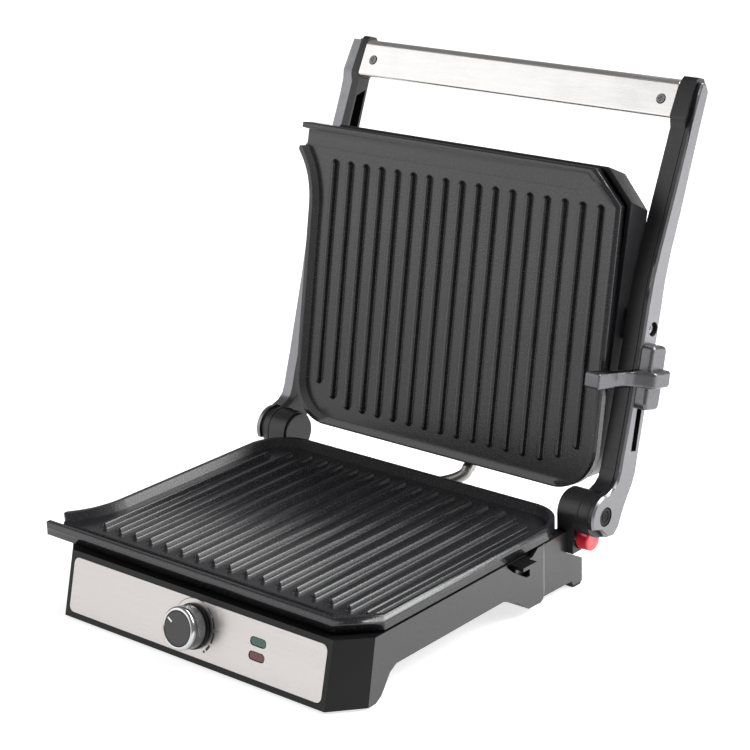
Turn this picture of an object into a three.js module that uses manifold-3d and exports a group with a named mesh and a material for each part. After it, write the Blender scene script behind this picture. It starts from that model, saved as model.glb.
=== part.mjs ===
// Panini press (contact grill) that opens past upright and folds flat.
// Units are millimetres, +Z up, the control panel faces -Y, +X is the side with the lock lever.
// The model is laid out from the lower plate: x = 0 at the plate's centre, y = 0 at its front lip,
// z = 0 at its rim. The last lines move the whole group so that the origin is the centre of the footprint.
import * as THREE from 'three';
import { mergeVertices } from 'three/addons/utils/BufferGeometryUtils.js';
import Module from 'manifold-3d';

const wasm = await Module();
wasm.setup();
const { Manifold, Mesh: SolidMesh } = wasm;

// ---------- driving dimensions ----------
const PLATE_W = 300;            // cooking plate width, outside the rim
const PLATE_D = 244.6;          // cooking plate depth
const PLATE_T = 10.5;           // rim to underside
const RIM_W = 8;                // width of the rim
const FLOOR_H = -7;             // cooking floor below the rim
const TROUGH_H = -8.4;          // drip channel below the rim
const LIP_W = 4;                // front lip width
const TROUGH_D = 15;            // drip channel, front to back
const CORNER_R = 34;            // rear corner radius
const CHAMFER = 25;             // front right corner cut
const RIBS = 17, RIB_PITCH = 16.33, RIB_H = 3.8, RIB_HALF = 2.7, RIB_TOP = 1.25;
const HINGE_Y = 257, HINGE_Z = -2, HINGE_R = 17; // lid hinge axis and lug radius
const LID_ANGLE = 100.07;       // open angle of the stored pose, from closed
const GAP_CLOSED = 3.1;         // rim to rim when closed
const FLOAT_Y = 318.7, FLOAT_Z = 128.8;          // pivot of the floating upper head
const ARM_IN = 153.4, ARM_OUT = 171.2, ARM_SPLIT = 166.6; // |x| of the arm's inner face, cover face, split line
const SIDE_X = 150;             // side wall of the base
const GROUND = -63.2;           // underside of the feet
const FASCIA_TOP = [-5, -12.4], FASCIA_BOT = [-17.6, -61.5]; // y, z of the sloped front
const FASCIA_X = 129.7;
const KNOB_X = 1, KNOB_V = 24.4, KNOB_R = 16, KNOB_H = 16.8;
const LENS_X = 63.5, LENS_V1 = 19.5, LENS_V2 = 29.9;
const BUTTON_Y = 251, BUTTON_Z = -20.4, BUTTON_R = 8.7, BUTTON_OUT = 164.4;
const CONDUIT_LOW = -22, CONDUIT_HIGH = 20;     // x of the conduit where it leaves the base and enters the head
const LEVER = [0, 307, 95];     // middle of the lock lever
const GAP = 0.3;

// ---------- helpers ----------
const DEG = Math.PI / 180;
const X = (s, a, b) => [Math.min(s * a, s * b), Math.max(s * a, s * b)]; // span between two |x|, on side s
const rotYZ = (y, z, deg, cy = HINGE_Y, cz = HINGE_Z) => {
  const c = Math.cos(deg * DEG), s = Math.sin(deg * DEG), a = y - cy, b = z - cz;
  return [cy + a * c - b * s, cz + a * s + b * c];
};
function solid(geometry) {
  let g = geometry.index ? geometry.toNonIndexed() : geometry.clone();
  g.deleteAttribute('normal');
  g.deleteAttribute('uv');
  g = mergeVertices(g, 1e-4);
  return new Manifold(new SolidMesh({
    numProp: 3,
    vertProperties: new Float32Array(g.attributes.position.array),
    triVerts: new Uint32Array(g.index.array),
  }));
}
// point order (u, v) and travel w to x, y, z: 'x' takes (y, z), 'y' takes (z, x), 'z' takes (x, y)
const place = { x: (u, v, w) => [w, u, v], y: (u, v, w) => [v, w, u], z: (u, v, w) => [u, v, w] };
function remap(geometry, axis) {
  const p = geometry.attributes.position;
  for (let i = 0; i < p.count; i++) p.setXYZ(i, ...place[axis](p.getX(i), p.getY(i), p.getZ(i)));
  return geometry;
}
const V2 = (pts) => pts.map((p) => new THREE.Vector2(p[0], p[1]));
function prism(pts, axis, a, b, holes = []) {
  const shape = new THREE.Shape(V2(pts));
  for (const h of holes) shape.holes.push(new THREE.Path(V2(h)));
  const g = new THREE.ExtrudeGeometry(shape, { depth: b - a, bevelEnabled: false });
  g.translate(0, 0, a);
  return solid(remap(g, axis));
}
function box(x0, x1, y0, y1, z0, z1) {
  const g = new THREE.BoxGeometry(x1 - x0, y1 - y0, z1 - z0);
  g.translate((x0 + x1) / 2, (y0 + y1) / 2, (z0 + z1) / 2);
  return solid(g);
}
// cylinder along an axis, centre (u, v) in that axis's plane
function cyl(axis, u, v, r, a, b, n = 24, r2 = r) {
  const g = new THREE.CylinderGeometry(r2, r, b - a, n);
  g.rotateX(Math.PI / 2);
  g.translate(u, v, (a + b) / 2);
  return solid(remap(g, axis));
}
const circle = (u, v, r, n = 24, a0 = 0, a1 = 360) => {
  const out = [], full = a1 - a0 === 360, m = full ? n : n + 1;
  for (let i = 0; i < m; i++) {
    const t = (a0 + ((a1 - a0) * i) / n) * DEG;
    out.push([u + r * Math.cos(t), v + r * Math.sin(t)]);
  }
  return out;
};
// loft through rings of equal point count, with flat ends
function loft(rings) {
  const n = rings[0].length, pos = [], idx = [];
  for (const r of rings) for (const p of r) pos.push(...p);
  for (let k = 0; k + 1 < rings.length; k++) for (let i = 0; i < n; i++) {
    const a = k * n + i, b = k * n + ((i + 1) % n), c = a + n, d = b + n;
    idx.push(a, b, d, a, d, c);
  }
  const cap = (ring, base, flip) => {
    const tri = THREE.ShapeUtils.triangulateShape(V2(ring), []);
    for (const t of tri) flip ? idx.push(base + t[2], base + t[1], base + t[0]) : idx.push(base + t[0], base + t[1], base + t[2]);
  };
  cap(rings[0], 0, true);
  cap(rings[rings.length - 1], (rings.length - 1) * n, false);
  const g = new THREE.BufferGeometry();
  g.setAttribute('position', new THREE.Float32BufferAttribute(pos, 3));
  g.setIndex(idx);
  return solid(g);
}
// closed polygon with its corners rounded
function rounded(pts, radii, seg = 4) {
  const out = [], n = pts.length;
  for (let i = 0; i < n; i++) {
    const r = Array.isArray(radii) ? radii[i] : radii;
    const p = new THREE.Vector2(...pts[i]);
    if (!r) { out.push([p.x, p.y]); continue; }
    const a = new THREE.Vector2(...pts[(i + n - 1) % n]).sub(p).normalize();
    const b = new THREE.Vector2(...pts[(i + 1) % n]).sub(p).normalize();
    const half = Math.acos(THREE.MathUtils.clamp(a.dot(b), -1, 1)) / 2;
    const d = r / Math.tan(half);
    const c = p.clone().addScaledVector(a.clone().add(b).normalize(), r / Math.sin(half));
    const s = p.clone().addScaledVector(a, d).sub(c), e = p.clone().addScaledVector(b, d).sub(c);
    const a0 = Math.atan2(s.y, s.x);
    let da = Math.atan2(e.y, e.x) - a0;
    while (da > Math.PI) da -= 2 * Math.PI;
    while (da < -Math.PI) da += 2 * Math.PI;
    for (let k = 0; k <= seg; k++) out.push([c.x + r * Math.cos(a0 + (da * k) / seg), c.y + r * Math.sin(a0 + (da * k) / seg)]);
  }
  return out;
}
const rect = (u0, u1, v0, v1) => [[u0, v0], [u1, v0], [u1, v1], [u0, v1]];
function tube(points, r, sides, steps) {
  const curve = new THREE.CatmullRomCurve3(points.map((p) => new THREE.Vector3(...p)), false, 'centripetal');
  const g = new THREE.ExtrudeGeometry(new THREE.Shape(V2(circle(0, 0, r, sides))), { steps, bevelEnabled: false, extrudePath: curve });
  return solid(g);
}
const group = new THREE.Group();
function add(parent, name, shape, [color, roughness, metalness]) {
  const m = shape.getMesh();
  const g = new THREE.BufferGeometry();
  g.setAttribute('position', new THREE.BufferAttribute(new Float32Array(m.vertProperties), 3));
  g.setIndex(new THREE.BufferAttribute(new Uint32Array(m.triVerts), 1));
  g.computeVertexNormals();
  const mesh = new THREE.Mesh(g, new THREE.MeshStandardMaterial({ color, roughness, metalness }));
  mesh.name = name;
  parent.add(mesh);
  return mesh;
}
const BLACK = [0x1d1d1f, 0.42, 0], NONSTICK = [0x2b2b2d, 0.55, 0.1], STEEL = [0xcfc8c2, 0.32, 1], SILVER = [0xb4b3b8, 0.45, 0.55],
  CHROME = [0xd8d8da, 0.12, 1], RED = [0xc8102e, 0.35, 0], GREEN = [0x2f6b57, 0.2, 0], DARKRED = [0x6e2028, 0.2, 0],
  RUBBER = [0x161616, 0.85, 0], ZINC = [0x9a9b9d, 0.4, 1], WHITE = [0xe8e6e2, 0.5, 0], CERAMIC = [0xd9d2c4, 0.7, 0], ALU = [0xa9abae, 0.5, 1];

// ---------- cooking plates ----------
// plate frame: x, s from the front lip, h up from the rim
const rearArc = (r, n) => [...circle(PLATE_W / 2 - CORNER_R, PLATE_D - CORNER_R, r, n, 0, 90), ...circle(-(PLATE_W / 2 - CORNER_R), PLATE_D - CORNER_R, r, n, 90, 180)];
const plateOutline = [[-163, 0], [PLATE_W / 2 - CHAMFER, 0], [PLATE_W / 2, CHAMFER], ...rearArc(CORNER_R, 8),
  [-150, 64], [-151, 54], [-154, 42], [-159, 31.5], [-165, 23], [-164.6, 19.4], [-163.6, 14]];
const platePocket = [[-175, LIP_W], [117, LIP_W], [142, 29], ...rearArc(CORNER_R - RIM_W, 8),
  [-142, 66], [-143.5, 53], [-147.5, 39], [-152.5, 28], [-159.5, 19.4], [-175, 17.6]];
const at = (pts, h) => pts.map((p) => [p[0], p[1], h]);
const shrink = (pts, d) => pts.map(([x, y]) => [x > 0 ? x - d : (x < -170 ? x : x + d), y > 120 ? y - d : y + d]);
function plateSolid() {
  let p = prism(plateOutline, 'z', -PLATE_T, 0);
  p = p.subtract(loft([at(shrink(platePocket, 1.6), FLOOR_H), at(platePocket, 0.5)]));
  const trough = [[-175, LIP_W + 1.6], [104, LIP_W + 1.6], [112, LIP_W + 4.5], [113, LIP_W + 9], [109, LIP_W + TROUGH_D - 1], [104, LIP_W + TROUGH_D], [-158, LIP_W + TROUGH_D], [-175, 16.5]];
  p = p.subtract(prism(trough, 'z', TROUGH_H, FLOOR_H + 0.5));
  for (let i = 0; i < RIBS; i++) {
    const x = (i - (RIBS - 1) / 2) * RIB_PITCH, edge = Math.min(i, RIBS - 1 - i);
    const s0 = 27, s1 = edge === 0 ? 213 : edge === 1 ? 223 : 229;
    const ring = (w, e, h) => [...circle(x, s1 - e - w, w, 4, 0, 180), ...circle(x, s0 + e + w, w, 4, 180, 360)].map((q) => [q[0], q[1], h]);
    p = p.add(loft([ring(RIB_HALF, 0, FLOOR_H - 0.6), ring(RIB_HALF, 0, FLOOR_H), ring(RIB_TOP, 1, FLOOR_H + RIB_H)]));
  }
  return p;
}
const lowerPlateShape = plateSolid();
// the upper plate is the lower one mirrored over the closed gap, then swung open about the lid hinge
const toHead = (m) => {
  // mirrored copy in the closed pose: y = s + 1.7, z = GAP_CLOSED - h
  const closed = m.mirror([0, 0, 1]).translate([0, 1.7, GAP_CLOSED]);
  return swing(closed);
};
function swing(m) {
  return m.translate([0, -HINGE_Y, -HINGE_Z]).rotate([-LID_ANGLE, 0, 0]).translate([0, HINGE_Y, HINGE_Z]);
}

const base = new THREE.Group(), knob = new THREE.Group(), button = new THREE.Group(), arms = new THREE.Group(), lever = new THREE.Group(), head = new THREE.Group();
group.add(base, knob, button, arms, lever, head);

add(base, 'lower_plate', lowerPlateShape, NONSTICK);
add(head, 'upper_plate', toHead(lowerPlateShape), NONSTICK);

// ---------- base housing ----------
const nF = [0, -0.9686, 0.2486], vF = [0, -0.2486, -0.9686]; // front panel: outward normal, and down the face
const basis = new THREE.Matrix4().makeBasis(new THREE.Vector3(1, 0, 0), new THREE.Vector3(0, 0.2486, 0.9686), new THREE.Vector3(...nF));
basis.setPosition(0, FASCIA_TOP[0], FASCIA_TOP[1]);
// a solid made with x across, y up the panel from its top edge, z out of the panel
const onPanel = (m) => m.transform(basis.elements);

function baseRing(d, z, low) {
  const t = (z - FASCIA_BOT[1]) / (FASCIA_TOP[1] - FASCIA_BOT[1]);
  const yf = FASCIA_BOT[0] + (FASCIA_TOP[0] - FASCIA_BOT[0]) * t, yw = 5 + (15 - 5) * t, xw = SIDE_X - d;
  const xf = FASCIA_X - 0.55 * d, rr = 7;
  const right = [[xf, yf + d], [xw, yw + 0.5 * d], [xw, 213 - rr], [xw - 2, 213 - d - 2], [xw - rr, 213 - d]];
  return [...right, ...right.slice().reverse().map(([x, y]) => [-x, y])].map(([x, y]) => [x, y, z]);
}
const sideProfile = [[-30, -61.5], [13, -61.5], [19, -58], [24, -51], [29, -44], [36, -40], [158, -40], [176, -47.6], [188, -57], [203, -57.5], [210, -53], [214, -44], [214, 5], [-30, 5]];
const outer = loft([baseRing(0, -64), baseRing(0, -12.4)]).intersect(prism(sideProfile, 'x', -200, 200));
const innerProfile = [[-30, -70], [230, -70], [230, -15.4], [-30, -15.4]];
let housing = outer
  .subtract(loft([baseRing(3, -66), baseRing(3, -15.4)]))
  .subtract(prism(rounded(rect(-136, 136, 12, 200), 10), 'z', -20, 0));
// pocket for the stainless panel, and its openings
housing = housing.subtract(onPanel(prism(rounded(rect(-126.2, 126.2, -46.6, -4.1), 5), 'z', -1.3, 5)));
housing = housing.subtract(onPanel(cyl('z', KNOB_X, -KNOB_V, 5, -8, 5, 20)));
for (const v of [LENS_V1, LENS_V2]) housing = housing.subtract(onPanel(prism(rounded(rect(LENS_X - 7.7, LENS_X + 7.7, -v - 3.4, -v + 3.4), 3.2), 'z', -8, 5)));
// keeper notch for the lock, in the right wall under the rim, with its tongue
const notch = prism([[159, -5], [163, -15], [171, -22], [186, -31], [190, -31], [190, -19.5], [200, -12.5], [200, -5]], 'x', 140, 160);
housing = housing.subtract(notch);
housing = housing.add(box(144, 151.5, 171, 191, -21.5, -16.2));
housing = housing.add(box(151, 158.5, 171, 187.5, -18.9, -16.2));
housing = housing.add(box(142, 145, 156, 203, -34, -15.4));
// rear ears that carry the hinge blocks and end in the rear feet
const ear = [[204, -14.5], [239.6, -13.5], [239.6, -31.4], [248, -35.5], [259.8, -42], [259.8, -61.1], [248.3, -61.1], [246.3, -57], [204, -56]];
for (const s of [1, -1]) {
  const a = s > 0 ? 138 : -147.4, b = s > 0 ? 147.4 : -138;
  housing = housing.add(prism(ear, 'x', a, b));
}
housing = housing.add(box(-147.4, 147.4, 210, 213, -40, -16));
housing = housing.subtract(cyl('y', -26, -102, 8.4, 205, 220, 20)).subtract(cyl('y', -24, CONDUIT_LOW, 8.4, 205, 220, 20));
// screw bosses that the bottom cover fastens to
const BOSS = [[-118, 48], [118, 48], [-118, 152], [118, 152]];
const boss = (x, y) => cyl('z', x, y, 4.6, -37.6, -25, 12).subtract(cyl('z', x, y, 1.9, -40, -27, 10));
for (const [x, y] of BOSS) housing = housing.add(boss(x, y)).add(box(Math.min(x, x > 0 ? 148 : -148), Math.max(x, x > 0 ? 148 : -148), y - 1, y + 1, -33, -25).subtract(cyl('z', x, y, 3, -40, -20, 12)));
add(base, 'base_housing', housing, BLACK);

// bottom cover: one bent floor that follows the underside, held by four screws
const coverTop = [[-11.6, -58.6], [12.5, -58.6], [17.5, -56], [22.5, -49], [28, -41.5], [36, -37.9], [158, -37.9], [175, -45.2], [187, -54.4], [202, -54.6]];
const coverBot = coverTop.map(([y, z]) => [y, z - 2]).reverse();
let cover = prism([...coverTop, ...coverBot].reverse(), 'x', -146.5, 146.5).intersect(loft([baseRing(3.4, -66), baseRing(3.4, -15)]));
cover = cover.subtract(prism([[200, -70], [230, -70], [230, 0], [200, 0]], 'x', -200, 200));
for (const [x, y] of BOSS) cover = cover.subtract(cyl('z', x, y, 2.2, -60, -30, 12));
// vent slots under the heater
for (let i = -3; i <= 3; i++) cover = cover.subtract(box(i * 22 - 7, i * 22 + 7, 86, 90, -60, -30)).subtract(box(i * 22 - 7, i * 22 + 7, 106, 110, -60, -30));
add(base, 'base_cover', cover, BLACK);
BOSS.forEach(([x, y], i) => {
  const head = cyl('z', x, y, 3.6, -42.1, -40.2, 12), z = -39.8;
  add(base, 'cover_screw_' + (i + 1), head.add(cyl('z', x, y, 1.55, z - 0.5, -28, 10)).subtract(box(x - 2.2, x + 2.2, y - 0.4, y + 0.4, -43, -41)).subtract(box(x - 0.4, x + 0.4, y - 2.2, y + 2.2, -43, -41)), ZINC);
});

// stainless control panel
let panel = prism(rounded(rect(-125.8, 125.8, -46.2, -4.5), 4.6), 'z', -1.0, 0.15);
panel = panel.subtract(cyl('z', KNOB_X, -KNOB_V, 5.2, -8, 5, 20));
for (const v of [LENS_V1, LENS_V2]) panel = panel.subtract(prism(rounded(rect(LENS_X - 7.6, LENS_X + 7.6, -v - 3.3, -v + 3.3), 3.1), 'z', -8, 5));
add(base, 'control_panel', onPanel(panel), STEEL);
const lens = (v) => onPanel(prism(rounded(rect(LENS_X - 7.2, LENS_X + 7.2, -v - 2.9, -v + 2.9), 2.7), 'z', -4, -0.15));
add(base, 'ready_lens', lens(LENS_V1), GREEN);
add(base, 'power_lens', lens(LENS_V2), DARKRED);
const lamp = (v) => onPanel(cyl('z', LENS_X, -v, 2.4, -17, -4.6, 10));
add(base, 'ready_lamp', lamp(LENS_V1), CERAMIC);
add(base, 'power_lamp', lamp(LENS_V2), CERAMIC);

// thermostat behind the panel, turned by the knob's shaft
let thermo = prism(rect(KNOB_X - 15, KNOB_X + 15, -KNOB_V - 11, -KNOB_V + 9), 'z', -22, -8);
thermo = thermo.add(prism(rect(KNOB_X - 20, KNOB_X + 20, -KNOB_V - 5, -KNOB_V + 5), 'z', -9, -7.2)).subtract(cyl('z', KNOB_X, -KNOB_V, 3.4, -18, 0, 16));
add(base, 'thermostat', onPanel(thermo), CERAMIC);
const shaft = cyl('z', KNOB_X, -KNOB_V, 3, -17.4, 9, 16).subtract(prism(rect(KNOB_X - 4, KNOB_X + 4, -KNOB_V + 1.8, -KNOB_V + 4), 'z', 3, 12));
add(knob, 'thermostat_shaft', onPanel(shaft), ZINC);
// knob: knurled chrome ring, black cap and a white pointer
const ringPts = [];
for (let i = 0; i < 30; i++) for (const [f, r] of [[0, KNOB_R - 0.9], [0.5, KNOB_R - 0.3]]) {
  const t = ((i + f) / 30) * 2 * Math.PI;
  ringPts.push([KNOB_X + r * Math.cos(t), -KNOB_V + r * Math.sin(t)]);
}
let ring = prism(ringPts, 'z', 3, KNOB_H - 4.5)
  .add(cyl('z', KNOB_X, -KNOB_V, KNOB_R, KNOB_H - 4.6, KNOB_H - 2.4, 36))
  .add(cyl('z', KNOB_X, -KNOB_V, KNOB_R, KNOB_H - 2.41, KNOB_H, 36, KNOB_R - 2.2))
  .subtract(cyl('z', KNOB_X, -KNOB_V, KNOB_R - 3.2, KNOB_H - 2.2, KNOB_H + 2, 30))
  .subtract(cyl('z', KNOB_X, -KNOB_V, 3.4, 0, 9.6, 16));
add(knob, 'knob_ring', onPanel(ring), CHROME);
add(knob, 'knob_collar', onPanel(cyl('z', KNOB_X, -KNOB_V, 16.7, 0.7, 2.7, 36).subtract(cyl('z', KNOB_X, -KNOB_V, 3.4, 0, 5, 16))), BLACK);
let cap = cyl('z', KNOB_X, -KNOB_V, KNOB_R - 3.5, KNOB_H - 1.9, KNOB_H - 0.4, 30);
const pa = 150 * DEG, px = (r, w) => [KNOB_X + r * Math.cos(pa) - w * Math.sin(pa), -KNOB_V + r * Math.sin(pa) + w * Math.cos(pa)];
const pointer = (g) => [px(7 - g, -0.65 - g), px(11.8 + g, -0.65 - g), px(11.8 + g, 0.65 + g), px(7 - g, 0.65 + g)];
cap = cap.subtract(prism(pointer(0.15), 'z', KNOB_H - 0.9, KNOB_H + 2));
add(knob, 'knob_cap', onPanel(cap), BLACK);
add(knob, 'knob_pointer', onPanel(prism(pointer(0), 'z', KNOB_H - 0.6, KNOB_H - 0.15)), WHITE);

// heating element, reflector tray and terminal block under the lower plate
const heaterPath = [[-34, 196, 0], [-34, 178, 0], [-60, 160, 0], [-104, 158, 0], [-112, 140, 0], [-112, 60, 0], [-100, 38, 0], [-60, 34, 0], [0, 34, 0], [60, 34, 0], [100, 38, 0], [112, 60, 0], [112, 140, 0], [104, 158, 0], [60, 160, 0], [34, 178, 0], [34, 196, 0]];
add(base, 'lower_heater', tube(heaterPath.map(([x, y]) => [x, y, -PLATE_T - 3.7]), 3.3, 7, 34), ZINC);
const trayShape = (z0) => prism(rounded(rect(-126, 126, 24, 172), 12), 'z', z0, z0 + 5).subtract(prism(rounded(rect(-125.2, 125.2, 24.8, 171.2), 11.4), 'z', z0 + 0.8, z0 + 9));
let reflector = trayShape(-23.6);
add(base, 'lower_reflector', reflector, ALU);
add(base, 'terminal_block', box(-70, -36, 184, 198, -36, -25).subtract(cyl('z', -62, 191, 2, -30, -20, 10)).subtract(cyl('z', -53, 191, 2, -30, -20, 10)).subtract(cyl('z', -44, 191, 2, -30, -20, 10)).add(box(-72, -34, 186, 196, -48, -35.9)), CERAMIC);

// mains inlet gland and the lower bush of the metal conduit
const bush = (z, x) => cyl('y', z, x, 8, 206, 217, 20).add(cyl('y', z, x, 10.5, 213.4, 219, 20)).subtract(cyl('y', z, x, 5.4, 200, 230, 16));
add(base, 'cord_gland', bush(-26, -102), BLACK);
add(base, 'conduit_bush_lower', bush(-24, CONDUIT_LOW), BLACK);

// rubber feet: two under the front, two under the rear ears
const frontFoot = (x) => cyl('z', x, 3, 8, GROUND, -61, 20, 7.4);
add(base, 'foot_front_left', frontFoot(-112), RUBBER);
add(base, 'foot_front_right', frontFoot(112), RUBBER);
const rearFoot = (a, b) => prism(rounded(rect(a, b, 248.6, 259.6), 1.5, 2), 'z', GROUND, -61.4);
add(base, 'foot_rear_left', rearFoot(-147.2, -138.2), RUBBER);
add(base, 'foot_rear_right', rearFoot(138.2, 147.2), RUBBER);

// hinge blocks with their steel pins
const blockProfile = () => {
  const arc = circle(HINGE_Y, HINGE_Z, HINGE_R, 18, -40, 180);
  return [...arc, [240, -31], [256, -31], [266, -24]];
};
function hingeBlock(s) {
  const a = s > 0 ? 137.4 : -153, b = s > 0 ? 153 : -137.4;
  let m = prism(blockProfile(), 'x', a, b);
  // round drum beside the block; on the right it runs out to the arm's cover, over the button
  m = m.add(cyl('x', HINGE_Y, HINGE_Z, HINGE_R, ...X(s, 152.5, 156.6), 36));
  if (s > 0) m = m.add(cyl('x', HINGE_Y, HINGE_Z, HINGE_R - 0.5, 156, 157.2, 36)).add(cyl('x', HINGE_Y, HINGE_Z, HINGE_R, 157.1, 164.5, 36));
  // step round the inner end, as a shallow collar
  const collar = prism([...circle(HINGE_Y, HINGE_Z, HINGE_R + 1, 18, -40, 180), [238, -40], [276, -40]], 'x', s > 0 ? 137 : -139.6, s > 0 ? 139.6 : -137)
    .subtract(prism([...circle(HINGE_Y, HINGE_Z, HINGE_R - 1.6, 18, -40, 180), [241.6, -33], [254.6, -33], [264.4, -24]], 'x', s > 0 ? 136 : -141, s > 0 ? 141 : -136));
  m = m.subtract(collar);
  m = m.subtract(cyl('x', HINGE_Y, HINGE_Z, 4.4, Math.min(s * 142, s * 170), Math.max(s * 142, s * 170), 16));
  if (s > 0) m = m.subtract(cyl('x', BUTTON_Y, BUTTON_Z, BUTTON_R + 0.4, 148, 170, 28)).subtract(cyl('x', BUTTON_Y, BUTTON_Z, 4.2, 141, 170, 16));
  return m;
}
add(base, 'hinge_block_left', hingeBlock(-1), BLACK);
add(base, 'hinge_block_right', hingeBlock(1), BLACK);
const pin = (s) => cyl('x', HINGE_Y, HINGE_Z, 4, ...X(s, 142.4, s > 0 ? 166 : 163.4), 16);
add(base, 'hinge_pin_left', pin(-1), ZINC);
add(base, 'hinge_pin_right', pin(1), ZINC);

// release button for flat opening, and its return spring
let btn = cyl('x', BUTTON_Y, BUTTON_Z, BUTTON_R, 154.2, BUTTON_OUT - 0.9, 24)
  .add(solid(remap(new THREE.CylinderGeometry(BUTTON_R - 0.9, BUTTON_R, 0.9, 24).rotateX(Math.PI / 2).translate(BUTTON_Y, BUTTON_Z, BUTTON_OUT - 0.46), 'x')))
  .subtract(cyl('x', BUTTON_Y, BUTTON_Z, 5.4, 150, 160, 16));
btn = btn.add(cyl('x', BUTTON_Y, BUTTON_Z, 1.6, 150.4, 160.4, 10));
add(button, 'release_button', btn, RED);
const springPts = [];
for (let i = 0; i <= 40; i++) {
  const t = (i / 40) * 5 * 2 * Math.PI;
  springPts.push(new THREE.Vector3(143.2 + (i / 40) * 15.4, BUTTON_Y + 3.1 * Math.cos(t), BUTTON_Z + 3.1 * Math.sin(t)));
}
const springCurve = new THREE.CatmullRomCurve3(springPts);
add(base, 'button_spring', solid(new THREE.ExtrudeGeometry(new THREE.Shape(V2(circle(0, 0, 0.45, 5))), { steps: 38, bevelEnabled: false, extrudePath: springCurve })), ZINC);

// ---------- lid arms ----------
// side outlines as (y, z), from the hinge to the handle
const armFront = [[261, 15.6], [267.5, 17.6], [272.5, 21.5], [275.6, 28], [279.6, 41], [284.2, 54.5], [293, 83], [303, 116], [312, 149], [318.2, 168.5], [327.6, 190], [339, 213.5], [350.5, 238], [361, 260.5], [366, 271.3]];
const armRear = [[268.6, -21.6], [273.4, -17], [282.4, -1.6], [288.3, 6.5], [293.4, 13.2], [297.6, 22], [300.6, 34.5], [305.2, 50.5], [313, 79], [322.5, 111], [331.5, 144], [336, 162.5], [344, 184], [355.5, 209.5], [366.3, 236], [377.6, 264], [387.5, 288.5]];
const armTop = [[365.6, 277.5], [366.2, 281], [380.6, 304.6], [384.5, 306.8], [391.4, 304.6], [393, 301.6]];
const hub = circle(HINGE_Y, HINGE_Z, HINGE_R + 0.4, 12, 80, 215);
function armPoly() {
  const o = [];
  o.push(...hub);                                   // hub, from top round the front
  o.push([250.6, -17.6], [259.4, -20.4]);
  o.push(...armRear);
  o.push(...armTop.slice().reverse());
  o.push(...armFront.slice().reverse());
  return o;
}
const ARM = armPoly();
// channel inside the arm, open towards the head
const lerpIn = (a, b, d) => { const l = Math.hypot(b[0] - a[0], b[1] - a[1]); return [a[0] + ((b[0] - a[0]) * d) / l, a[1] + ((b[1] - a[1]) * d) / l]; };
const channel = [];
{
  const F = armFront.slice(3, 14), R = armRear.slice(5, 16);
  const inF = F.map((p, i) => lerpIn(p, R[Math.min(i, R.length - 1)], 2.7));
  const inR = R.map((p, i) => lerpIn(p, F[Math.min(i, F.length - 1)], 2.7));
  channel.push(...inR, ...inF.reverse());
}
const cw = (pts) => (THREE.ShapeUtils.isClockWise(V2(pts)) ? pts.slice().reverse() : pts);
const D = [0, -0.2447, -0.9696]; // lever travel, along the arm towards the hinge
const along = (t, w = 0) => [LEVER[1] + D[1] * t + 0.9696 * w, LEVER[2] + D[2] * t - 0.2447 * w];
function armBody(s) {
  const splitX = s < 0 ? 160.6 : ARM_SPLIT;
  let m = prism(cw(ARM), 'x', ...X(s, ARM_IN, splitX - GAP));
  if (s < 0) m = m.add(prism(cw(armInset(6.2)), 'x', ...X(s, 160, ARM_SPLIT - GAP)));
  m = m.subtract(prism(cw(channel), 'x', ...X(s, ARM_IN - 2, s < 0 ? 163 : 162.6)));
  m = m.subtract(prism(circle(HINGE_Y, HINGE_Z, HINGE_R + 0.5, 36), 'x', ...X(s, ARM_IN - 2, s > 0 ? 164.9 : 156.9)));
  m = m.subtract(cyl('x', HINGE_Y, HINGE_Z, 4.4, ...X(s, 150, s > 0 ? 167 : 163.8), 16)).subtract(cyl('x', HINGE_Y, HINGE_Z, 2.2, ...X(s, 150, 172), 12));
  m = m.subtract(cyl('x', FLOAT_Y, FLOAT_Z, 4.4, ...X(s, 150, 172), 16));
  if (s > 0) {
    // room for the release button all along the arm's swing
    m = m.subtract(prism([[HINGE_Y, HINGE_Z], ...circle(HINGE_Y, HINGE_Z, 33, 20, -238, -6)], 'x', 150, 164.9));
    m = m.subtract(prism([along(12, 3.3), along(12, -3.3), along(57.5, -3.3), along(57.5, 3.3)], 'x', 150, 175));
  }
  return m;
}
function armInset(d) {
  // outline pulled in by d at the front edge only
  const inner = armFront.map((p, i) => lerpIn(p, armRear[Math.min(i + 2, armRear.length - 1)], d));
  return [...circle(HINGE_Y, HINGE_Z, HINGE_R - 2, 12, 80, 215), [252, -15.4], [260, -18], ...armRear, [392.6, 301.4], [386.5, 303.8], ...inner.reverse()];
}
add(arms, 'left_arm', armBody(-1), BLACK);
add(arms, 'right_arm', armBody(1), BLACK);
// outer covers; the silver face tapers towards the handle
const EDGE = 1.5; // edge break round the covers
function coverOutline(d, s) {
  const f = armFront.map((p, i) => lerpIn(p, armRear[Math.min(i + 2, armRear.length - 1)], 0.5 + d));
  const r = armRear.map((p, i) => lerpIn(p, armFront[Math.max(0, Math.min(i - 2, armFront.length - 1))], 0.3 + d));
  return [...circle(HINGE_Y, HINGE_Z, HINGE_R - d, 14, 80, 200), [251.2 + 0.7 * d, -11 + 0.3 * d], [259.4 + 0.3 * d, -19.9 + d], [268 - 0.5 * d, -21 + d],
    ...r.slice(1), [390.2 - 0.5 * d, 297 - d], [387.6 - 0.3 * d, 302.6 - d],
    ...(s > 0 ? [[382.4 + 0.3 * d, 303.4 - d], [377.5 + 0.8 * d, 296 - d]] : [[382 + 0.6 * d, 304 - d], [367.2 + 0.9 * d, 280.8 - 0.3 * d]]), ...f.reverse()];
}
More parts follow.
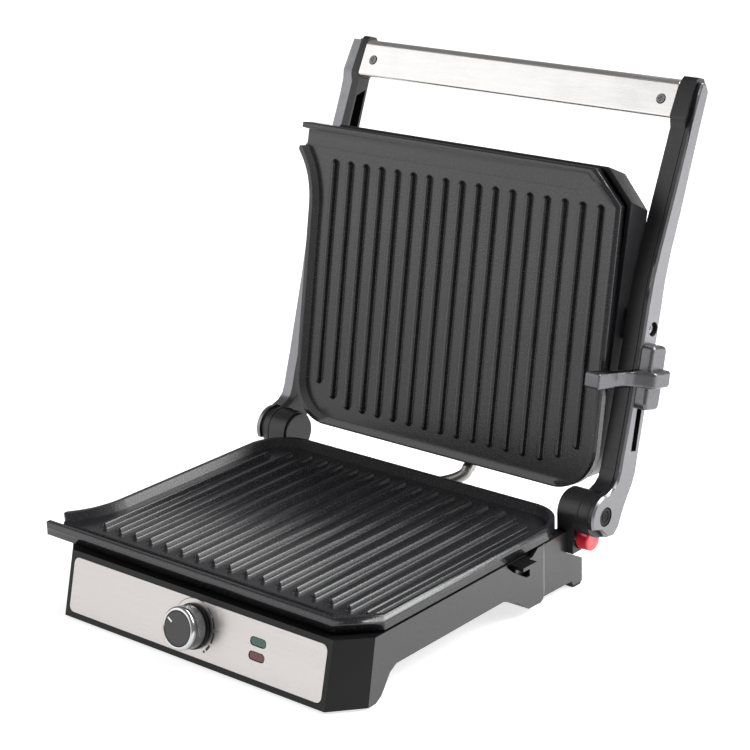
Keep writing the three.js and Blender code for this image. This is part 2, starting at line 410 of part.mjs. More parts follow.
function armCover(s) {
  const o = cw(coverOutline(0, s)), i = cw(coverOutline(EDGE, s));
  let m = prism(o, 'x', ...X(s, ARM_SPLIT, ARM_OUT - EDGE)).add(taper(o, i, s));
  if (s < 0) m = m.add(prism(cw(frontWrap()), 'x', -ARM_SPLIT - 0.01, -160.6));
  m = m.subtract(cyl('x', HINGE_Y, HINGE_Z, 7.6, ...X(s, 168.4, 176), 20)).subtract(cyl('x', HINGE_Y, HINGE_Z, 2.4, ...X(s, 160, 176), 12));
  m = m.subtract(cyl('x', FLOAT_Y, FLOAT_Z, 5.6, ...X(s, 160, 176), 16));
  if (s > 0) m = m.subtract(prism([along(12, 3.3), along(12, -3.3), along(57.5, -3.3), along(57.5, 3.3)], 'x', 150, 176));
  return m;
}
function taper(o, i, s) {
  // the edge break round the cover's outer face
  const n = o.length, pos = [], idx = [], a = s * (ARM_OUT - EDGE - 0.001), b = s * ARM_OUT;
  for (const p of o) pos.push(a, p[0], p[1]);
  for (const p of i) pos.push(b, p[0], p[1]);
  for (let k = 0; k < n; k++) { const q = (k + 1) % n; s > 0 ? idx.push(k, q, n + q, k, n + q, n + k) : idx.push(k, n + q, q, k, n + k, n + q); }
  for (const t of THREE.ShapeUtils.triangulateShape(V2(o), [])) s > 0 ? idx.push(t[2], t[1], t[0]) : idx.push(t[0], t[1], t[2]);
  for (const t of THREE.ShapeUtils.triangulateShape(V2(i), [])) s > 0 ? idx.push(n + t[0], n + t[1], n + t[2]) : idx.push(n + t[2], n + t[1], n + t[0]);
  const g = new THREE.BufferGeometry();
  g.setAttribute('position', new THREE.Float32BufferAttribute(pos, 3));
  g.setIndex(idx);
  return solid(g);
}
function frontWrap() {
  // band of the left cover that wraps the arm's front edge
  const f = armFront.map((p, i) => lerpIn(p, armRear[Math.min(i + 2, armRear.length - 1)], 0.5));
  const b = armFront.map((p, i) => lerpIn(p, armRear[Math.min(i + 2, armRear.length - 1)], 5.8));
  return [...f, [366.6, 280.9], [381, 304.2], [384, 300.4], [372.6, 279.6], ...b.reverse()];
}
add(arms, 'left_arm_cover', armCover(-1), SILVER);
add(arms, 'right_arm_cover', armCover(1), SILVER);

// handle bar between the arms: a stainless sleeve on a black core, held by two screws from the front
const HAND_A = [365.4, 278.6], HAND_U = [0.4772, 0.8788]; // lower front edge, and up along the face
const HAND_L = 31.4, HAND_T = 15;
const handPt = (u, t) => [HAND_A[0] + HAND_U[0] * u + HAND_U[1] * t, HAND_A[1] + HAND_U[1] * u - HAND_U[0] * t];
const handRect = (e, r, seg) => rounded([[e, e], [HAND_L - e, e], [HAND_L - e, HAND_T - e], [e, HAND_T - e]], r, seg).map(([u, t]) => handPt(u, t));
const HX = ARM_IN - 0.4;
const sleeveHoles = (m, r) => {
  for (const s of [1, -1]) {
    const [y, z] = handPt(13.6, 0), d = [0, HAND_U[1], -HAND_U[0]];
    const g = new THREE.CylinderGeometry(r, r, 12, 16);
    g.applyQuaternion(new THREE.Quaternion().setFromUnitVectors(new THREE.Vector3(0, 1, 0), new THREE.Vector3(...d)));
    g.translate(s * 141.2, y, z);
    m = m.subtract(solid(g));
  }
  return m;
};
add(arms, 'handle_bar', sleeveHoles(prism(cw(handRect(0, [2.2, 6, 6, 2.2], 4)), 'x', -HX, HX).subtract(prism(cw(handRect(1.2, [1.2, 4.8, 4.8, 1.2], 4)), 'x', -HX - 2, HX + 2)), 3.9), STEEL);
add(arms, 'handle_core', sleeveHoles(prism(cw(handRect(1.55, [1, 4.4, 4.4, 1], 3)), 'x', -HX + 0.5, HX - 0.5), 2.3), BLACK);
function handleScrew(s) {
  const [y, z] = handPt(13.6, 0), d = new THREE.Vector3(0, HAND_U[1], -HAND_U[0]);
  const q = new THREE.Quaternion().setFromUnitVectors(new THREE.Vector3(0, 0, 1), d);
  let m = cyl('z', 0, 0, 3.5, -0.6, 1.2, 16).add(cyl('z', 0, 0, 1.9, 1.1, 5.6, 12));
  m = m.subtract(box(-2.2, 2.2, -0.45, 0.45, -2, 0.1)).subtract(box(-0.45, 0.45, -2.2, 2.2, -2, 0.1));
  const t = new THREE.Matrix4().makeRotationFromQuaternion(q).setPosition(s * 141.2, y, z);
  return m.transform(t.elements);
}
add(arms, 'handle_screw_left', handleScrew(-1), BLACK);
add(arms, 'handle_screw_right', handleScrew(1), BLACK);

// screws on the lid hinge and the float pivots, in the arms' outer faces
const hingeScrew = (s) => {
  let m = cyl('x', HINGE_Y, HINGE_Z, 7, ...X(s, 168.8, 170.6), 24).add(cyl('x', HINGE_Y, HINGE_Z, 1.9, ...X(s, s > 0 ? 166.4 : 164.2, 169), 12));
  return m.subtract(cyl('x', HINGE_Y, HINGE_Z, 4.6, ...X(s, 169.9, 172), 20)).add(cyl('x', HINGE_Y, HINGE_Z, 3.4, ...X(s, 169.6, 170.5), 16))
    .subtract(box(...X(s, 170, 172), HINGE_Y - 2.4, HINGE_Y + 2.4, HINGE_Z - 0.4, HINGE_Z + 0.4)).subtract(box(...X(s, 170, 172), HINGE_Y - 0.4, HINGE_Y + 0.4, HINGE_Z - 2.4, HINGE_Z + 2.4));
};
add(arms, 'hinge_screw_left', hingeScrew(-1), BLACK);
add(arms, 'hinge_screw_right', hingeScrew(1), BLACK);
const floatPin = (s) => cyl('x', FLOAT_Y, FLOAT_Z, 4, ...X(s, 144.6, 168.2), 16).subtract(cyl('x', FLOAT_Y, FLOAT_Z, 2, ...X(s, 166.6, 175), 6));
add(arms, 'float_pin_left', floatPin(-1), ZINC);
add(arms, 'float_pin_right', floatPin(1), ZINC);

// ---------- lock lever on the right arm ----------
const LU = [0, -0.985, 0.1736], LW = [0, 0.1736, 0.985]; // towards the claw, and across the slab
const leverPlan = [[171.7, -10.8], [186, -10.8], [188.2, -8.6], [188.2, 8.4], [187.2, 10.8], [184, 12.6], [178.6, 14.2], [174.2, 16.4], [171, 19.8], [169, 24.4], [168, 31], [167.4, 41], [166.8, 51.4], [165.2, 53], [154.6, 53], [153.4, 51.8], [153.4, 48.6], [154.6, 47.6], [160, 47.6], [161.8, 45.6], [162.6, 36], [163.6, 27], [166.2, 20], [171.7, 14.4]];
{
  const m4 = new THREE.Matrix4().makeBasis(new THREE.Vector3(1, 0, 0), new THREE.Vector3(...LU), new THREE.Vector3(0, -LW[1], -LW[2])).setPosition(0, LEVER[1], LEVER[2]);
  const plan = rounded(cw(leverPlan), 0, 1);
  const slab = loft([plan.map((p) => [p[0], p[1], -6.2]), plan.map((p) => [p[0], p[1], 6.2])]).transform(m4.elements);
  // block along the arm
  const b4 = new THREE.Matrix4().makeBasis(new THREE.Vector3(1, 0, 0), new THREE.Vector3(0, 0.9696, -0.2447), new THREE.Vector3(0, 0.2447, 0.9696)).setPosition(0, LEVER[1] + 0.6, LEVER[2]);
  const outlineAt = (e) => rounded(rect(-10 + e, 10 - e, -24.5 + e, 24.5 - e), 5 - e, 4);
  let block = loft([outlineAt(0).map(([v, w]) => [v, w, 171.7]), outlineAt(0).map(([v, w]) => [v, w, 180.4]), outlineAt(1.4).map(([v, w]) => [v, w, 181.8])]);
  const toX = new THREE.Matrix4().makeBasis(new THREE.Vector3(0, 1, 0), new THREE.Vector3(0, 0, 1), new THREE.Vector3(1, 0, 0));
  block = block.transform(toX.elements).transform(b4.elements);
  let m = block.add(slab);
  // stem through the arm's slot and its retaining head inside the channel
  m = m.add(prism([along(15, 2.7), along(15, -2.7), along(24.2, -2.7), along(24.2, 2.7)], 'x', 158.6, 172));
  m = m.add(prism([along(15, 4.6), along(15, -4.6), along(24.2, -4.6), along(24.2, 4.6)], 'x', 157, 161.2));
  add(lever, 'lock_lever', m, SILVER);
}

// ---------- floating upper head ----------
// outline of the housing in the plate frame, pulled in by d
const headRing = (d, h) => [[-125 + 0.41 * d, d], [125 - 0.41 * d, d], [150 - d, CHAMFER + 0.41 * d], ...rearArc(CORNER_R - d, 8), [-150 + d, CHAMFER + 0.41 * d]].map(([x, y]) => [x, y, h]);
// the casing's own outline stands a little outside the plate at the handle end: front edge, half widths and corner, then the pull-in at the rear
const caseRing = (top, hx, lx, ly, d, h) => [[-hx, top], [hx, top], [lx, ly], ...rearArc(CORNER_R - d, 8), [-lx, ly]].map(([x, y]) => [x, y, h]);
let shell = loft([headRing(24, -53), headRing(12.5, -50), caseRing(4.8, 128.7, 152, 29.5, 3.4, -38), caseRing(-1.6, 131.5, 154.4, 21.5, 1.2, -PLATE_T - 0.6)]);
shell = shell.subtract(loft([headRing(26.5, -50.4), headRing(15.5, -47.2), caseRing(7.8, 127.5, 149, 30.7, 6.4, -36.4), caseRing(1.4, 130.3, 151.4, 22.7, 4.2, -5)]));
// pocket for the stainless top panel
shell = shell.subtract(loft([headRing(29, -60), headRing(29, -51.4)]));
for (const s of [1, -1]) {
  const S = 115.73, H = -32.79;
  shell = shell.add(cyl('x', S, H, 11.5, ...X(s, 142, 152.7), 24)).subtract(cyl('x', S, H, 4.5, ...X(s, 143.6, 160), 16));
}
// conduit entry in the rear edge
shell = shell.subtract(cyl('y', -24, CONDUIT_HIGH, 6.6, 230, 250, 16));
add(head, 'upper_housing', toHead(shell), BLACK);
const top = loft([headRing(29.6, -52.9), headRing(29.6, -51.6)]);
add(head, 'top_panel', toHead(top.translate([0, 0, -0.15])), STEEL);
add(head, 'upper_heater', toHead(tube(heaterPath.map(([x, y]) => [x, y, -PLATE_T - 3.7]), 3.3, 7, 34)), ZINC);
add(head, 'upper_reflector', toHead(trayShape(-24.6)), ALU);
add(head, 'thermal_fuse', toHead(box(-14, 14, 90, 102, -34, -26.4).add(cyl('y', -30, 0, 2.4, 84, 108, 10))), CERAMIC);
add(head, 'conduit_bush_upper', toHead(cyl('y', -24, CONDUIT_HIGH, 6.2, 238, 246.5, 16).add(cyl('y', -24, CONDUIT_HIGH, 8.6, 244.2, 248.6, 16)).subtract(cyl('y', -24, CONDUIT_HIGH, 4.2, 230, 260, 12))), BLACK);

// metal conduit from the base to the head, behind the plates
const cEnd = (s, h) => { const [y, z] = rotYZ(s + 1.7, GAP_CLOSED - h, -LID_ANGLE); return [CONDUIT_HIGH, y, z]; };
const conduit = [[0, 219.4, -24], [0, 226, -24], [1, 240, -23.5], [7, 256, -22], [18, 268, -20], [31, 276, -16.5], [40, 281, -11], [42.6, 283.4, -5]].map(([x, y, z]) => [x + CONDUIT_LOW, y, z]).concat([ cEnd(254, -24), cEnd(249.2, -24)]);
add(base, 'conduit', tube(conduit, 5, 10, 28), ALU);

// origin: centre of the footprint at ground level
group.position.set(0, 0, 0);
group.updateMatrixWorld(true);
const bounds = new THREE.Box3().setFromObject(group);
group.position.set(-(bounds.min.x + bounds.max.x) / 2, -(bounds.min.y + bounds.max.y) / 2, -bounds.min.z);

export default group;
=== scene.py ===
import math

import bmesh
import bpy
from mathutils import Matrix, Vector


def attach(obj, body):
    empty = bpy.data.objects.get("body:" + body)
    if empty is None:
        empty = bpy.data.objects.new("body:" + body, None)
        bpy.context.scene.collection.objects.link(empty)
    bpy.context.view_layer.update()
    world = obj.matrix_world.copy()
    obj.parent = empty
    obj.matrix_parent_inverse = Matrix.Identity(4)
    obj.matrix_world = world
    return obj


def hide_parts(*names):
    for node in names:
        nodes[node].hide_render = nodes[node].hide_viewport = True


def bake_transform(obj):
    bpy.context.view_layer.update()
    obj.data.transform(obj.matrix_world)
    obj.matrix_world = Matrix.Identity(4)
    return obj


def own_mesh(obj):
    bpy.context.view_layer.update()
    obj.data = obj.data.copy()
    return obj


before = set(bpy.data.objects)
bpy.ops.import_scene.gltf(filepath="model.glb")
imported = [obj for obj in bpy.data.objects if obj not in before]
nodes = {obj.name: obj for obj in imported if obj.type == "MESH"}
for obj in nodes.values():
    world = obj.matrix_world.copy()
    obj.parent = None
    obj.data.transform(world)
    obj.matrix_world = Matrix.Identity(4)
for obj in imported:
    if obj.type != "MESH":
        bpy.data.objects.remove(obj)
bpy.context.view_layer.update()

MM = 0.001
# the CAD is laid out from the lower plate (mm); this is where that point sits in the row frame
OFF = Vector((-8.5, -181.1155, 63.2))
HINGE = (257.0, -2.0)
LID = 100.07
GAP_CLOSED = 3.1
DEG = math.pi / 180


def P(x, y, z):
    return (Vector((x, y, z)) + OFF) * MM


def swing(y, z, deg=-LID):
    c, s = math.cos(deg * DEG), math.sin(deg * DEG)
    a, b = y - HINGE[0], z - HINGE[1]
    return HINGE[0] + a * c - b * s, HINGE[1] + a * s + b * c


def lower(x, s, h):
    return P(x, s, h)


def upper(x, s, h):
    y, z = swing(s + 1.7, GAP_CLOSED - h)
    return P(x, y, z)


# ------------------------------------------------------------------ materials
def new_mat(name):
    m = bpy.data.materials.new(name)
    m.use_nodes = True
    nt = m.node_tree
    return m, nt, nt.nodes["Principled BSDF"]


class Net:
    """Short names for the shader nodes used below."""

    def __init__(self, nt):
        self.nt = nt

    def node(self, kind, **kw):
        n = self.nt.nodes.new(kind)
        for k, v in kw.items():
            setattr(n, k, v)
        return n

    def link(self, a, b):
        self.nt.links.new(a, b)

    def coords(self, scale=(1, 1, 1), rot=(0, 0, 0)):
        t = self.node("ShaderNodeTexCoord")
        m = self.node("ShaderNodeMapping")
        m.inputs["Scale"].default_value = scale
        m.inputs["Rotation"].default_value = rot
        self.link(t.outputs["Object"], m.inputs["Vector"])
        return m.outputs["Vector"]

    def noise(self, vec, scale, detail=3.0, rough=0.55):
        n = self.node("ShaderNodeTexNoise")
        n.inputs["Scale"].default_value = scale
        n.inputs["Detail"].default_value = detail
        n.inputs["Roughness"].default_value = rough
        self.link(vec, n.inputs["Vector"])
        return n.outputs["Fac"]

    def voronoi(self, vec, scale, out="Distance"):
        n = self.node("ShaderNodeTexVoronoi")
        n.inputs["Scale"].default_value = scale
        self.link(vec, n.inputs["Vector"])
        return n.outputs[out]

    def ramp(self, fac, stops):
        r = self.node("ShaderNodeValToRGB")
        el = r.color_ramp.elements
        while len(el) > 1:
            el.remove(el[-1])
        el[0].position, el[0].color = stops[0][0], (*stops[0][1], 1)
        for pos, col in stops[1:]:
            e = el.new(pos)
            e.color = (*col, 1)
        self.link(fac, r.inputs["Fac"])
        return r.outputs["Color"]

    def range(self, fac, lo, hi, a=0.0, b=1.0):
        r = self.node("ShaderNodeMapRange")
        r.inputs["From Min"].default_value = a
        r.inputs["From Max"].default_value = b
        r.inputs["To Min"].default_value = lo
        r.inputs["To Max"].default_value = hi
        self.link(fac, r.inputs["Value"])
        return r.outputs["Result"]

    def mix(self, fac, a, b, mode="MIX"):
        m = self.node("ShaderNodeMix", data_type="RGBA", blend_type=mode)
        if isinstance(fac, (int, float)):
            m.inputs[0].default_value = fac
        else:
            self.link(fac, m.inputs[0])
        for sock, v in ((m.inputs[6], a), (m.inputs[7], b)):
            if isinstance(v, tuple):
                sock.default_value = (*v, 1)
            else:
                self.link(v, sock)
        return m.outputs[2]

    def bump(self, height, strength, distance, normal=None):
        b = self.node("ShaderNodeBump")
        b.inputs["Strength"].default_value = strength
        b.inputs["Distance"].default_value = distance
        self.link(height, b.inputs["Height"])
        if normal is not None:
            self.link(normal, b.inputs["Normal"])
        return b.outputs["Normal"]


def plastic(name, base, rough, var=0.12, grain=2200.0, bump=0.22, spec=0.5, coat=0.0, dust=None, depth=0.00004):
    m, nt, bs = new_mat(name)
    n = Net(nt)
    v = n.coords()
    big = n.noise(v, 14.0, 3.0)
    fine = n.noise(v, grain, 2.0, 0.6)
    mid = n.noise(v, 260.0, 4.0, 0.6)
    lo = tuple(c * (1 - var) for c in base)
    hi = tuple(min(1.0, c * (1 + var)) for c in base)
    col = n.ramp(big, [(0.3, lo), (0.7, hi)])
    col = n.mix(n.range(mid, 0.0, 0.12, 0.45, 0.75), col, tuple(min(1, c * 1.35 + 0.004) for c in base))
    n.link(col, bs.inputs["Base Color"])
    n.link(n.range(mid, rough - 0.05, rough + 0.07, 0.25, 0.75), bs.inputs["Roughness"])
    n.link(n.bump(fine, bump, depth), bs.inputs["Normal"])
    bs.inputs["Specular IOR Level"].default_value = spec
    bs.inputs["Coat Weight"].default_value = coat
    bs.inputs["Coat Roughness"].default_value = 0.12
    return m


def paint(name, base, rough, metallic, flake=0.06):
    m, nt, bs = new_mat(name)
    n = Net(nt)
    v = n.coords()
    cell = n.voronoi(v, 2600.0, "Color")
    sep = n.node("ShaderNodeSeparateColor")
    n.link(cell, sep.inputs["Color"])
    big = n.noise(v, 9.0, 3.0)
    lo = tuple(c * (1 - flake) for c in base)
    hi = tuple(min(1.0, c * (1 + flake)) for c in base)
    col = n.ramp(sep.outputs[0], [(0.0, lo), (1.0, hi)])
    col = n.mix(n.range(big, 0.0, 0.16, 0.35, 0.7), col, tuple(c * 0.9 for c in base))
    n.link(col, bs.inputs["Base Color"])
    bs.inputs["Metallic"].default_value = metallic
    mid = n.noise(v, 180.0, 4.0)
    n.link(n.range(mid, rough - 0.05, rough + 0.06, 0.25, 0.75), bs.inputs["Roughness"])
    fine = n.noise(v, 1500.0, 2.0)
    n.link(n.bump(fine, 0.12, 0.00003), bs.inputs["Normal"])
    return m


def brushed(name, base, rough, along="x", metallic=1.0, strength=0.35, fine=2600.0, var=0.1):
    m, nt, bs = new_mat(name)
    n = Net(nt)
    sc = {"x": (0.018, 1, 1), "y": (1, 0.018, 1), "z": (1, 1, 0.018)}[along]
    v = n.coords(sc)
    lines = n.noise(v, fine, 3.0, 0.65)
    wide = n.noise(v, fine * 0.12, 2.0, 0.5)
    plain = n.coords()
    smudge = n.noise(plain, 22.0, 4.0, 0.6)
    lo = tuple(c * (1 - var) for c in base)
    col = n.ramp(lines, [(0.25, lo), (0.75, base)])
    col = n.mix(n.range(wide, 0.0, 0.25, 0.4, 0.7), col, tuple(min(1, c * 1.06) for c in base))
    n.link(col, bs.inputs["Base Color"])
    bs.inputs["Metallic"].default_value = metallic
    add = n.node("ShaderNodeMath", operation="ADD")
    n.link(n.range(lines, rough - 0.06, rough + 0.1, 0.2, 0.8), add.inputs[0])
    n.link(n.range(smudge, 0.0, 0.06, 0.4, 0.7), add.inputs[1])
    n.link(add.outputs[0], bs.inputs["Roughness"])
    n.link(n.bump(lines, strength, 0.00002), bs.inputs["Normal"])
    return m


def nonstick(name, base):
    m, nt, bs = new_mat(name)
    n = Net(nt)
    v = n.coords()
    big = n.noise(v, 18.0, 3.0)
    cells = n.voronoi(v, 760.0)
    small = n.voronoi(v, 1500.0)
    fine = n.noise(v, 3600.0, 3.0, 0.7)
    lo = tuple(c * 0.85 for c in base)
    hi = tuple(c * 1.15 for c in base)
    col = n.ramp(big, [(0.3, lo), (0.7, hi)])
    fleck = tuple(min(1, c * 3.2 + 0.05) for c in base)
    col = n.mix(n.range(cells, 0.85, 0.0, 0.05, 0.26), col, fleck)
    col = n.mix(n.range(small, 0.5, 0.0, 0.04, 0.24), col, tuple(c * 0.45 for c in base))
    n.link(col, bs.inputs["Base Color"])
    n.link(n.range(fine, 0.16, 0.27, 0.25, 0.75), bs.inputs["Roughness"])
    b1 = n.bump(fine, 0.22, 0.00005)
    n.link(n.bump(cells, 0.2, 0.00012, b1), bs.inputs["Normal"])
    bs.inputs["Specular IOR Level"].default_value = 0.5
    return m


def clear(name, base, alpha_rough=0.08):
    m, nt, bs = new_mat(name)
    n = Net(nt)
    v = n.coords()
    waves = n.noise(v, 420.0, 2.0)
    col = n.ramp(waves, [(0.3, tuple(c * 0.8 for c in base)), (0.7, tuple(min(1, c * 1.25) for c in base))])
    n.link(col, bs.inputs["Base Color"])
    n.link(n.range(waves, alpha_rough, alpha_rough + 0.1), bs.inputs["Roughness"])
    bs.inputs["Coat Weight"].default_value = 0.25
    bs.inputs["Coat Roughness"].default_value = 0.05
    n.link(n.bump(waves, 0.15, 0.0001), bs.inputs["Normal"])
    return m


M = {
    "nonstick": nonstick("nonstick_coat", (0.013, 0.013, 0.0145)),
    "black": plastic("black_moulding", (0.006, 0.006, 0.0066), 0.42, spec=0.22),
    "cap": plastic("knob_cap_moulding", (0.02, 0.02, 0.021), 0.36, spec=0.5),
    "black_arm": plastic("black_arm_moulding", (0.009, 0.009, 0.01), 0.38, spec=0.4),
    # painted light: a lighter, glossier copy of the black moulding for the lit sides of the base
    "side": plastic("black_moulding_lit_side_copy", (0.01, 0.01, 0.011), 0.3, spec=0.55, coat=0.25),
    "head": plastic("head_moulding", (0.007, 0.007, 0.008), 0.36, spec=0.26),
    "silver": paint("silver_paint", (0.18, 0.178, 0.187), 0.32, 0.85),
    # painted shade: the lock lever is silver plastic, given a darker copy of the silver paint to stand in for the shade
    # on it
    "lever": paint("lever_paint_shaded", (0.11, 0.108, 0.115), 0.28, 0.8),
    "panel": brushed("brushed_panel", (0.49, 0.465, 0.452), 0.28, "x", strength=0.2, var=0.05),
    "handle": brushed("brushed_handle", (0.54, 0.528, 0.52), 0.22, "x", strength=0.15, var=0.05),
    "top": brushed("brushed_top", (0.33, 0.325, 0.32), 0.34, "z"),
    "chrome": brushed("bright_plating", (0.5, 0.5, 0.51), 0.12, "z", strength=0.08, var=0.04),
    # painted shade: a dark copy of the plating for the grooves of the knob's knurl
    "knurl_shade": brushed("plating_knurl_shade", (0.07, 0.07, 0.072), 0.35, "z", strength=0.08, var=0.1),
    "zinc": brushed("zinc_steel", (0.5, 0.5, 0.5), 0.35, "x", strength=0.2),
    "conduit": brushed("conduit_steel", (0.34, 0.33, 0.32), 0.26, "x", strength=0.15),
    "alu": brushed("reflector_sheet", (0.6, 0.6, 0.6), 0.4, "y"),
    "heater": brushed("heater_sheath", (0.3, 0.27, 0.25), 0.42, "x"),
    "red": plastic("red_button", (0.5, 0.003, 0.018), 0.2, var=0.05, coat=0.7, bump=0.06),
    "green_lens": clear("green_lens", (0.014, 0.075, 0.05)),
    "red_lens": clear("red_lens", (0.085, 0.005, 0.008)),
    "rubber": plastic("foot_rubber", (0.018, 0.018, 0.018), 0.8, bump=0.4, grain=1400.0),
    "ceramic": plastic("ceramic", (0.66, 0.63, 0.56), 0.6, var=0.05),
    "white": plastic("white_inlay", (0.82, 0.82, 0.8), 0.45, var=0.03, bump=0.05),
    "ink": plastic("grey_print", (0.03, 0.03, 0.032), 0.5, var=0.05, bump=0.03, spec=0.3),
    "dark_screw": brushed("dark_screw", (0.16, 0.16, 0.165), 0.32, "x", strength=0.1),
    "black_screw": plastic("black_screw", (0.006, 0.006, 0.0065), 0.45, bump=0.1, spec=0.15),
}


def dress(obj, key):
    obj.data.materials.clear()
    obj.data.materials.append(M[key])
    for p in obj.data.polygons:
        p.material_index = 0


# ------------------------------------------------------------------ carried-over CAD nodes
def polish(name, key, width=0.5, seg=2, angle=30):
    """Edge breaks and smooth shading on a CAD node, by modifiers only."""
    o = nodes[name]
    dress(o, key)
    for p in o.data.polygons:
        p.use_smooth = True
    w = o.modifiers.new("weld", "WELD")
    w.merge_threshold = 0.000002
    d = o.modifiers.new("flat", "DECIMATE")
    d.decimate_type = "DISSOLVE"
    d.angle_limit = 0.6 * DEG
    b = o.modifiers.new("edge", "BEVEL")
    b.width = width * MM
    b.segments = seg
    b.limit_method = "ANGLE"
    b.angle_limit = angle * DEG
    b.use_clamp_overlap = True
    n = o.modifiers.new("normals", "WEIGHTED_NORMAL")
    n.keep_sharp = True
    return o


for nm, key, wd in (
    ("base_housing", "black", 0.7), ("base_cover", "black", 0.3), ("control_panel", "panel", 0.12),
    ("ready_lens", "green_lens", 0.4), ("power_lens", "red_lens", 0.4), ("ready_lamp", "ceramic", 0.3), ("power_lamp", "ceramic", 0.3),
    ("thermostat", "ceramic", 0.4), ("lower_heater", "heater", 0.1), ("lower_reflector", "alu", 0.2), ("terminal_block", "ceramic", 0.4),
    ("cord_gland", "black", 0.5), ("conduit_bush_lower", "black", 0.5), ("foot_front_left", "rubber", 0.4), ("foot_front_right", "rubber", 0.4),
    ("foot_rear_left", "rubber", 0.4), ("foot_rear_right", "rubber", 0.4), ("hinge_block_left", "black_arm", 0.6), ("hinge_block_right", "black_arm", 0.6),
    # knob_collar is dressed black as a dark ring at the knob's foot, standing in for the shade round the knob's base
    ("hinge_pin_left", "zinc", 0.3), ("hinge_pin_right", "zinc", 0.3), ("thermostat_shaft", "zinc", 0.2), ("knob_cap", "cap", 0.5), ("knob_collar", "black", 0.4), ("knob_pointer", "white", 0.08),
    ("left_arm", "black_arm", 0.5), ("right_arm", "black_arm", 0.5), ("left_arm_cover", "silver", 0.35), ("right_arm_cover", "silver", 0.35),
    ("handle_core", "black", 0.3), ("handle_screw_left", "dark_screw", 0.15), ("handle_screw_right", "dark_screw", 0.15),
    ("hinge_screw_left", "black_screw", 0.2), ("hinge_screw_right", "black_screw", 0.2), ("float_pin_left", "zinc", 0.3), ("float_pin_right", "zinc", 0.3),
    ("upper_housing", "head", 0.6), ("top_panel", "top", 0.15), ("upper_heater", "heater", 0.1), ("upper_reflector", "alu", 0.2),
    ("thermal_fuse", "ceramic", 0.4), ("conduit_bush_upper", "black", 0.5),
    ("cover_screw_1", "zinc", 0.15), ("cover_screw_2", "zinc", 0.15), ("cover_screw_3", "zinc", 0.15), ("cover_screw_4", "zinc", 0.15),
):
    polish(nm, key, wd)


# the right cover is painted on its outer face; its edge towards the front stays black
cover = nodes["right_arm_cover"]
cover.data.materials.append(M["black_arm"])
for p in cover.data.polygons:
    if p.normal.x < 0.6 and p.normal.y < 0.3:
        p.material_index = 1

# painted light: the faces of the base that point left and right get a lighter, glossier copy of the black moulding,
# standing in for the light the sides catch
shell = nodes["base_housing"]
shell.data.materials.append(M["side"])
for p in shell.data.polygons:
    if abs(p.normal.x) > 0.85:
        p.material_index = 1

# ------------------------------------------------------------------ mesh helpers
def make(name, verts, faces, key, body, slot, smooth=True):
    me = bpy.data.meshes.new(name)
    me.from_pydata([tuple(v) for v in verts], [], faces)
    me.update()
    bm = bmesh.new()
    bm.from_mesh(me)
    bmesh.ops.remove_doubles(bm, verts=bm.verts, dist=1e-7)
    bmesh.ops.recalc_face_normals(bm, faces=bm.faces)
    bm.to_mesh(me)
    bm.free()
    for p in me.polygons:
        p.use_smooth = smooth
    o = bpy.data.objects.new(name, me)
    bpy.context.scene.collection.objects.link(o)
    if key:
        dress(o, key)
    if body:
        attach(o, body)
    return o


def soften(o, width, seg=3, angle=30):
    b = o.modifiers.new("edge", "BEVEL")
    b.width = width * MM
    b.segments = seg
    b.limit_method = "ANGLE"
    b.angle_limit = angle * DEG
    n = o.modifiers.new("normals", "WEIGHTED_NORMAL")
    n.keep_sharp = True
    return o


def rings_mesh(rings, closed=True):
    """Vertices and faces of a loft through rings of equal length, capped at both ends when closed."""
    n = len(rings[0])
    verts = [p for r in rings for p in r]
    faces = []
    for k in range(len(rings) - 1):
        for i in range(n):
            j = (i + 1) % n
            faces.append((k * n + i, k * n + j, (k + 1) * n + j, (k + 1) * n + i))
    if closed:
        faces.append(tuple(reversed(range(n))))
        faces.append(tuple(range((len(rings) - 1) * n, len(rings) * n)))
    return verts, faces


def arc(cx, cy, r, a0, a1, n):
    return [(cx + r * math.cos((a0 + (a1 - a0) * i / n) * DEG), cy + r * math.sin((a0 + (a1 - a0) * i / n) * DEG)) for i in range(n + 1)]


def curve_through(pts, n):
    """A smooth line through the points, n steps between each two."""
    out = []
    for i in range(len(pts) - 1):
        p0 = Vector(pts[max(0, i - 1)])
        p1, p2 = Vector(pts[i]), Vector(pts[i + 1])
        p3 = Vector(pts[min(len(pts) - 1, i + 2)])
        for k in range(n):
            t = k / n
            q = 0.5 * ((2 * p1) + (p2 - p0) * t + (2 * p0 - 5 * p1 + 4 * p2 - p3) * t * t + (3 * p1 - p0 - 3 * p2 + p3) * t ** 3)
            out.append(tuple(q))
    out.append(tuple(pts[-1]))
    return out


def boolean(a, b, how="DIFFERENCE"):
    m = a.modifiers.new("cut", "BOOLEAN")
    m.operation = how
    m.solver = "EXACT"
    m.object = b
    bpy.context.view_layer.update()
    dg = bpy.context.evaluated_depsgraph_get()
    me = bpy.data.meshes.new_from_object(a.evaluated_get(dg))
    a.modifiers.clear()
    old = a.data
    a.data = me
    bpy.data.meshes.remove(old)
    bpy.data.objects.remove(b)
    return a


# ------------------------------------------------------------------ cooking plates
PW, PD, CR = 150.0, 244.6, 34.0
FLOOR, TROUGH, THICK, LIP = -7.0, -8.4, -10.5, 4.0


def plate_outline():
    p = [(-163.0, 0.0), (125.0, 0.0), (150.0, 25.0)]
    p += arc(PW - CR, PD - CR, CR, 0, 90, 26)
    p += arc(-(PW - CR), PD - CR, CR, 90, 180, 26)
    p += curve_through([(-150, 64), (-151, 54), (-154, 42), (-159, 31.5), (-165, 23)], 5)
    p += [(-165.3, 21.2), (-164.6, 19.4), (-163.9, 16.5), (-163.6, 14)]
    return p


